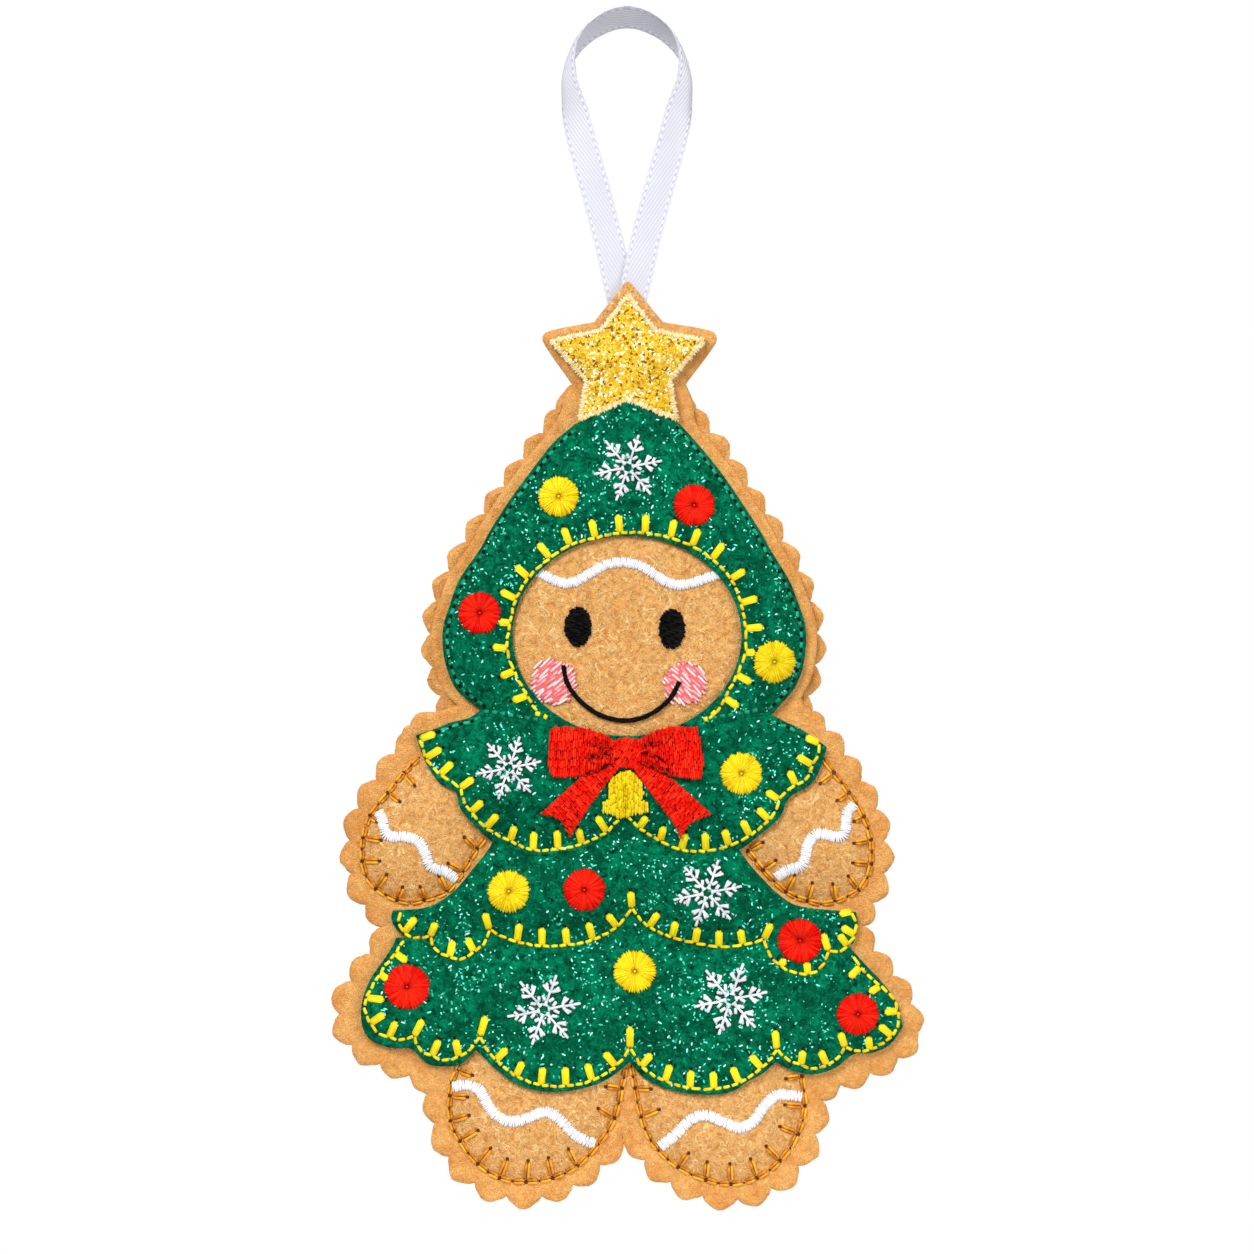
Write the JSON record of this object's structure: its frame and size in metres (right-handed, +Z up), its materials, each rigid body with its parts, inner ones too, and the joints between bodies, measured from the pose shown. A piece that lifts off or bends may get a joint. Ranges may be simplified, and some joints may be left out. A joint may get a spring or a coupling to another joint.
{
  "type": "felt christmas ornament",
  "caption": "Flat stuffed felt figure in a christmas tree dress, stitched in layers, that hangs from a soft satin ribbon loop.",
  "frame": {"origin": "the point where the ribbon loop hangs, under the top of the loop", "axes": "+Z up along the hanging figure, -Y out of its front, +X to the right seen from the front"},
  "size_m": [0.0981, 0.0109, 0.2],
  "materials": {
    "tan_felt": "matte needle-punched felt with curly pale and dark fibres",
    "green_glitter_felt": "matte felt with scattered teal and white glitter",
    "gold_glitter_felt": "dense gold glitter flakes on felt",
    "stuffing_fibre": "loose white polyester fibre",
    "stabiliser_fibre": "thin matte non-woven sheet",
    "satin_ribbon": "soft satin sheen, fine diagonal twill, dashed selvedges",
    "cream_thread": "glossy embroidery thread",
    "green_thread": "glossy embroidery thread",
    "yellow_thread": "glossy embroidery thread",
    "gold_thread": "brown-gold metallic embroidery thread",
    "white_thread": "glossy embroidery thread",
    "black_thread": "glossy embroidery thread",
    "pink_thread": "glossy embroidery thread laid in open diagonal rows",
    "red_thread": "glossy embroidery thread"
  },
  "bodies": {
    "hanger": {"ribbon_loop": "satin_ribbon"},
    "figure": {"back_felt": "tan_felt", "front_felt": "tan_felt", "hood_glitter_felt": "green_glitter_felt", "cape_glitter_felt": "green_glitter_felt", "upper_skirt_glitter_felt": "green_glitter_felt", "lower_skirt_glitter_felt": "green_glitter_felt", "star_glitter_felt": "gold_glitter_felt", "stuffing": "stuffing_fibre", "stabiliser": "stabiliser_fibre", "ribbon_tail_left": "satin_ribbon", "ribbon_tail_right": "satin_ribbon", "star_edge_stitch": "cream_thread", "hood_running_stitch_left": "green_thread", "hood_running_stitch_right": "green_thread", "cape_running_stitch_left": "green_thread", "cape_running_stitch_right": "green_thread", "face_blanket_stitch": "yellow_thread", "cape_blanket_stitch": "yellow_thread", "upper_skirt_blanket_stitch": "yellow_thread", "lower_skirt_blanket_stitch": "yellow_thread", "bauble_hood_yellow": "yellow_thread", "bauble_cheek_yellow": "yellow_thread", "bauble_cape_yellow": "yellow_thread", "bauble_upper_yellow": "yellow_thread", "bauble_lower_yellow": "yellow_thread", "bell": "yellow_thread", "hand_stitch_left": "gold_thread", "hand_stitch_right": "gold_thread", "foot_stitch_left": "gold_thread", "foot_stitch_right": "gold_thread", "hand_icing_left": "white_thread", "hand_icing_right": "white_thread", "foot_icing_left": "white_thread", "foot_icing_right": "white_thread", "forehead_icing": "white_thread", "snowflake_hood": "white_thread", "snowflake_cape": "white_thread", "snowflake_upper": "white_thread", "snowflake_lower_left": "white_thread", "snowflake_lower_right": "white_thread", "back_seam_stitch": "white_thread", "eye_left": "black_thread", "eye_right": "black_thread", "smile": "black_thread", "cheek_left": "pink_thread", "cheek_right": "pink_thread", "bauble_hood_red": "red_thread", "bauble_cheek_red": "red_thread", "bauble_upper_red": "red_thread", "bauble_upper_edge_red": "red_thread", "bauble_lower_left_red": "red_thread", "bauble_lower_right_red": "red_thread", "bow_loop_left": "red_thread", "bow_loop_right": "red_thread", "bow_knot": "red_thread", "bow_tail_left": "red_thread", "bow_tail_right": "red_thread"}
  },
  "joints": [
    {"name": "ribbon_bend", "type": "hinge", "parent": "hanger", "child": "figure", "pos_m": [0, 0, -0.0414], "axis": [1, 0, 0], "range_deg": [-85, 85]}
  ]
}
